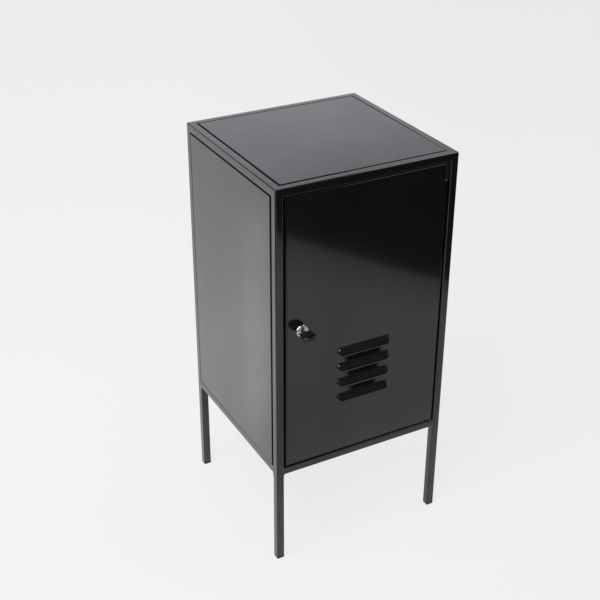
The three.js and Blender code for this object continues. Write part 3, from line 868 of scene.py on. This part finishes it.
pan_low, pan_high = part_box("door_pan")
skin_y = frame_low.y
louvre_depth = skin_y - pan_low.y
slits = [louvre_middle_z + (index - (louvre_count - 1) / 2) * louvre_pitch
         for index in range(louvre_count)]
print("slits at", [round(level, 4) for level in slits], "louvres", round(louvre_depth, 4), "deep")

# %% [markdown]
# ## Pressed louvres
# A louvre is slit along its lower edge and pressed out above the slit, so it is a hood that is
# deepest at the slit and runs out to nothing above and at both ends. The strip of sheet under
# each slit has lost its hold on one side and leans back a little. That is easiest as a height
# over the flat sheet: a fine grid is cut open along the slits, and every point is pushed out
# by a formula.

# %% Louvre shape
field_margin = 0.010
rows_per_pitch = 40
field_columns = 140
strip_lean = 0.0040
press_round = 0.0010
louvre_power = 2.2
louvre_squareness = 3.0


def soft_most(first, second, blend):
    """The larger of two heights, with a small radius where they meet."""
    near = np.clip(blend - np.abs(first - second), 0, None) / blend
    return np.maximum(first, second) + near ** 2 * blend / 4


def pressed_out(x, z, row):
    """How far the pressed sheet stands out from the door's face."""
    flat = np.zeros_like(x)
    x = x - louvre_middle_x
    end = np.clip(np.abs(x) - (louvre_length / 2 - louvre_end_reach), 0, None) / louvre_end_reach
    out = flat
    for level in slits:
        rise = (z - level) / louvre_height
        reach = np.clip(rise, 0, None) ** louvre_squareness + end ** louvre_squareness
        reach = reach ** (1 / louvre_squareness)
        hood = soft_most((1 - reach ** louvre_power) * louvre_depth, flat, press_round)
        out = np.where(z > level - row / 2, np.maximum(out, hood), out)
    strip = louvre_pitch - louvre_height
    across = np.clip(1 - (2 * x / louvre_length) ** 2, 0, None)
    for level in slits[1:]:
        drop = (level - z) / strip
        lean = strip_lean * across * np.clip(1 - drop, 0, 1)
        out = np.where((drop > row / strip / 2) & (drop < 1), out - lean, out)
    return out


print("louvre formula ready")

# %% [markdown]
# The grid is laid upright in the plane of the skin, with its rows in step with the slits. The
# row of faces under each slit is deleted, so the hood's edge comes apart from the strip below
# it, and then every point moves out by the formula.

# %% Louvre field
def make_louvre_field():
    """The pressed part of the skin: a fine upright grid, open along the slits."""
    row = louvre_pitch / rows_per_pitch
    below = round(field_margin / row)
    above = round((louvre_height + field_margin) / row)
    rows = below + (louvre_count - 1) * rows_per_pitch + above
    bottom = slits[0] - below * row
    width = louvre_length + 2 * field_margin
    bpy.ops.object.select_all(action="DESELECT")
    bpy.ops.mesh.primitive_grid_add(
        x_subdivisions=field_columns, y_subdivisions=rows, size=1,
        location=(louvre_middle_x, skin_y, bottom + rows * row / 2),
        rotation=(math.pi / 2, 0, 0))
    bpy.context.object.scale = (width, rows * row, 1)
    field = settle(bpy.context.object, "louvre_field")
    slit_reach = louvre_length / 2 - width / field_columns

    def under_a_lip(face):
        centre = face.calc_center_median()
        close = any(abs(centre.z - (level - row / 2)) < row / 4 for level in slits)
        return close and abs(centre.x - louvre_middle_x) < slit_reach

    enter(field)
    print("faces cut for the slits:", pick("FACE", under_a_lip))
    bpy.ops.mesh.delete(type="FACE")
    leave()
    points = np.empty(len(field.data.vertices) * 3)
    field.data.vertices.foreach_get("co", points)
    points = points.reshape(-1, 3)
    points[:, 1] -= pressed_out(points[:, 0], points[:, 2], row)
    field.data.vertices.foreach_set("co", points.ravel())
    field.data.update()
    return field


louvre_field = make_louvre_field()
print("louvre field", len(louvre_field.data.polygons), "faces")

# %% [markdown]
# ## The door's skin
# The door is folded like the panels but deeper, with its edges returned behind as a lip and a
# notch cut for the hinge. Its face could be pushed out in place, but the louvres need a fine
# grid and the folds don't, so the tray keeps its folds only and its flat face is taken out.

# %% Door tray
door_depth = 0.014
door_lip = 0.010
door_round = 0.0024
door_play = 0.0006
notch_width = 0.0075
notch_height = 0.0305
straight_on = 0.99


def make_door_tray():
    low = Vector((pan_low.x + door_play, skin_y, pan_low.z))
    high = Vector((pan_high.x - door_play, skin_y + door_depth, pan_high.z))
    tray = add_block("door_sheet", low, high)
    cut_away(tray,
             (pan_high.x - notch_width, low.y - door_depth, high.z - notch_height),
             (high.x + door_depth, high.y + door_depth, high.z + door_depth))
    enter(tray)
    pick("EDGE", lambda edge: in_plane(edge, 1, low.y) or in_plane(edge, 1, high.y))
    round_edges(door_round, steps=6)
    pick("FACE", lambda face: face.normal.y > straight_on)
    bpy.ops.mesh.inset(thickness=door_lip - door_round, depth=0)
    bpy.ops.mesh.delete(type="FACE")
    pick("FACE", lambda face: face.normal.y < -straight_on)
    bpy.ops.mesh.delete(type="ONLY_FACE")
    leave()
    return tray


door_tray = make_door_tray()
print("door tray", len(door_tray.data.polygons), "faces")

# %% [markdown]
# The rim of the fold, the rim of the louvre field and the ring of the lock's hole lie in one
# plane, and Fill spans the sheet between them. Solidify then gives all of it the thickness of
# the sheet, so the louvres and the folds are one skin as on the pressed door.

# %% Door skin
barrel_hole = 0.0092
hole_sides = 64
lock_low, lock_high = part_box("lock_case")
lock_x = (lock_low.x + lock_high.x) / 2
lock_z = (lock_low.z + lock_high.z) / 2


def is_skin_rim(edge):
    """The open edges in the plane of the skin, apart from the slits' own ends."""
    in_field = all(
        abs(vertex.co.x - louvre_middle_x) < (louvre_length + field_margin) / 2
        and slits[0] - field_margin / 2 < vertex.co.z < slits[-1] + louvre_height + field_margin / 2
        for vertex in edge.verts)
    return in_plane(edge, 1, skin_y) and not in_field and (edge.is_boundary or edge.is_wire)


def make_door(tray, field):
    bpy.ops.object.select_all(action="DESELECT")
    bpy.ops.mesh.primitive_circle_add(
        vertices=hole_sides, radius=barrel_hole, fill_type="NOTHING",
        location=(lock_x, skin_y, lock_z), rotation=(math.pi / 2, 0, 0))
    ring = settle(bpy.context.object, "lock_hole")
    bpy.ops.object.select_all(action="DESELECT")
    for piece in (field, ring, tray):
        piece.select_set(True)
    bpy.context.view_layer.objects.active = tray
    bpy.ops.object.join()
    enter(tray)
    print("rim edges to span:", pick("EDGE", is_skin_rim))
    bpy.ops.mesh.fill(use_beauty=True)
    bpy.ops.mesh.select_all(action="SELECT")
    bpy.ops.mesh.normals_make_consistent(inside=False)
    leave()
    apply_modifier(tray, "SOLIDIFY", thickness=sheet, offset=-1, use_even_offset=True)
    finish_piece(tray, "door", "black_paint", ["door_pan"])


make_door(door_tray, louvre_field)

# %% [markdown]
# ## The lock
# The lock is a chrome case with a wide bezel in front and a barrel through the door, and a plug
# that turns in it. The bezel starts as a disc. Insets in its face make the rim, the slope and
# the flat round the plug, and bevels round the rim.

# %% Lock sizes
bezel_radius = 0.0114
bezel_rim = 0.0034
bezel_dish = 0.0010
bezel_slope = 0.40 * bezel_rim
bezel_outer_round = 0.50 * bezel_rim
bezel_inner_round = 0.25 * bezel_rim
bezel_gap = 0.0003
bezel_height = 0.0024
bezel_front = skin_y - bezel_height
ring_slack = 0.0003
barrel_radius = 0.009
barrel_flat = 0.016
barrel_end = lock_high.y
plug_radius = 0.0063
plug_play = 0.0002
overlap = 0.001


def on_lock_axis(y):
    return Vector((lock_x, y, lock_z))


def on_bezel_ring(edge, radius):
    """The edges of the bezel's front that lie on a circle round the lock's axis."""
    return in_plane(edge, 1, bezel_front) and all(
        abs((vertex.co - on_lock_axis(bezel_front)).length - radius) < ring_slack
        for vertex in edge.verts)


print("lock at", round(lock_x, 4), round(lock_z, 4))

# %% [markdown]
# The barrel behind the bezel is round with a flat on two sides, which keeps it from turning in
# the door. Bezel and barrel are joined first, so that one bore can be cut through both.

# %% Lock case
def make_lock_case():
    case = add_rod(
        "lock_bezel", on_lock_axis(skin_y - bezel_gap), on_lock_axis(bezel_front), bezel_radius)
    enter(case)
    pick("FACE", lambda face: in_plane(face, 1, bezel_front))
    bpy.ops.mesh.inset(thickness=bezel_rim)
    bpy.ops.mesh.inset(thickness=bezel_slope, depth=-bezel_dish)
    print("outer ring:", pick("EDGE", lambda edge: on_bezel_ring(edge, bezel_radius)))
    round_edges(bezel_outer_round, steps=6)
    print("inner ring:", pick("EDGE", lambda edge: on_bezel_ring(edge, bezel_radius - bezel_rim)))
    round_edges(bezel_inner_round)
    leave()
    barrel = add_rod(
        "barrel", on_lock_axis(skin_y - overlap), on_lock_axis(barrel_end), barrel_radius)
    past = 2 * barrel_radius
    for side in (-1, 1):
        inner = lock_x + side * barrel_flat / 2
        outer = lock_x + side * past
        cut_away(barrel,
                 (min(inner, outer), skin_y + 2 * sheet, lock_z - past),
                 (max(inner, outer), barrel_end + barrel_radius, lock_z + past))
    combine(case, barrel, "UNION")
    bore = add_rod(
        "bore", on_lock_axis(bezel_front - bezel_rim), on_lock_axis(barrel_end + bezel_rim),
        plug_radius + plug_play)
    combine(case, bore, "DIFFERENCE")
    finish_piece(case, "door", "chrome", ["lock_case"])


make_lock_case()

# %% [markdown]
# The plug is a rod in the bore, with a slot for the key in front and a square tail behind that
# carries the cam. It is a piece of its own, because it turns with the key.

# %% Lock plug
keyway_width = 0.0086
keyway_height = 0.0026
plug_front = bezel_front + bezel_dish
plug_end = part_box("lock_plug")[1].y
tail_size = 0.007
plug_round = 0.0004


def make_lock_plug():
    plug = add_rod("lock_core", on_lock_axis(plug_front), on_lock_axis(barrel_end), plug_radius)
    enter(plug)
    pick("EDGE", lambda edge: in_plane(edge, 1, plug_front) or in_plane(edge, 1, barrel_end))
    round_edges(plug_round, steps=3)
    leave()
    half_tail = Vector((tail_size / 2, 0, tail_size / 2))
    tail = add_block(
        "tail", on_lock_axis(barrel_end - overlap) - half_tail, on_lock_axis(plug_end) + half_tail)
    combine(plug, tail, "UNION")
    half_key = Vector((keyway_width / 2, 0, keyway_height / 2))
    cut_away(plug, on_lock_axis(plug_front - overlap) - half_key,
             on_lock_axis(barrel_end - overlap) + half_key)
    finish_piece(plug, "lock_plug", "chrome", ["lock_plug"])


make_lock_plug()

# %% [markdown]
# ## The key's head
# The key has a flat steel blade and a thick moulded head. The head is a block whose lock side
# is drawn in, with its outer corners rounded until they nearly meet, its corners by the lock
# rounded less, the rim softened all round, and a hole for the ring.

# %% Key head
head_low, head_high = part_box("key_head")
neck_share = 0.84
bow_round = 0.0105
neck_round = 0.005
rim_round = 0.0018
ring_hole_radius = 0.0024
ring_hole_inset = 2.2 * ring_hole_radius
ring_hole_sides = 40


def make_key_head():
    head = add_block("key_bow", head_low, head_high)
    middle = (head_low + head_high) / 2
    enter(head)
    pick("FACE", lambda face: in_plane(face, 1, head_high.y))
    bpy.ops.transform.resize(value=(neck_share, 1, 1), center_override=middle)
    pick("EDGE", lambda edge: in_plane(edge, 1, head_low.y) and runs_along(edge, 2))
    round_edges(bow_round, steps=10)
    pick("EDGE", lambda edge: in_plane(edge, 1, head_high.y) and runs_along(edge, 2))
    round_edges(neck_round, steps=6)
    pick("EDGE", lambda edge: in_plane(edge, 2, head_low.z) or in_plane(edge, 2, head_high.z))
    round_edges(rim_round, steps=5)
    leave()
    hole_y = head_low.y + ring_hole_inset
    hole = add_rod(
        "ring_hole", (middle.x, hole_y, head_low.z - rim_round),
        (middle.x, hole_y, head_high.z + rim_round), ring_hole_radius, ring_hole_sides)
    combine(head, hole, "DIFFERENCE")
    finish_piece(head, "key", "black_plastic", ["key_head"])


make_key_head()

# %% [markdown]
# ## The small parts
# The pins, the washer, the stops, the stiffener, the shelf's angles, the blade of the key and
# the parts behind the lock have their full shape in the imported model. Only their edges are too
# sharp to catch light, so each gets a copy of its mesh with its points merged and its edges
# broken by a small bevel.

# %% Small parts
merge_distance = 0.000002
slot_of = {row["node"]: row["material_slot"] for row in frame["record"]["subparts"]}
body_of = {node: body for body, nodes in frame["record"]["behaviour"]["bodies"].items()
           for node in nodes}
edge_breaks = {
    "upper_hinge_knuckle": 0.0004,
    "upper_hinge_pin": 0.0002,
    "lower_pivot_pin": 0.0002,
    "lower_pivot_washer": 0.0002,
    "upper_door_stop": 0.0002,
    "lower_door_stop": 0.0002,
    "upper_door_buffer": 0.0005,
    "lower_door_buffer": 0.0005,
    "door_stiffener": 0.0002,
    "left_shelf_angle": 0.0003,
    "right_shelf_angle": 0.0003,
    "lock_nut": 0.0003,
    "lock_cam": 0.0003,
    "cam_screw": 0.0002,
    "key_blade": 0.0002,
}


def make_small_part(node, radius):
    piece = bpy.data.objects.new(node + "_part", frame["nodes"][node].data.copy())
    bpy.context.collection.objects.link(piece)
    enter(piece)
    bpy.ops.mesh.select_all(action="SELECT")
    bpy.ops.mesh.remove_doubles(threshold=merge_distance)
    bpy.ops.mesh.dissolve_limited(angle_limit=flat_angle)
    leave()
    apply_modifier(piece, "BEVEL", width=radius, segments=2, limit_method="ANGLE",
                   angle_limit=smooth_angle, use_clamp_overlap=True)
    paint = "dull_knuckle_paint" if node == "upper_hinge_knuckle" else None
    finish_piece(piece, body_of[node], slot_of[node], [node], paint)


for small_node, small_radius in edge_breaks.items():
    make_small_part(small_node, small_radius)

# %% [markdown]
# ## Left as packed
# The imported nodes that no piece has replaced are printed.

# %% Nodes left as packed
print("left as packed:", [name for name, node in frame["nodes"].items() if not node.hide_render])
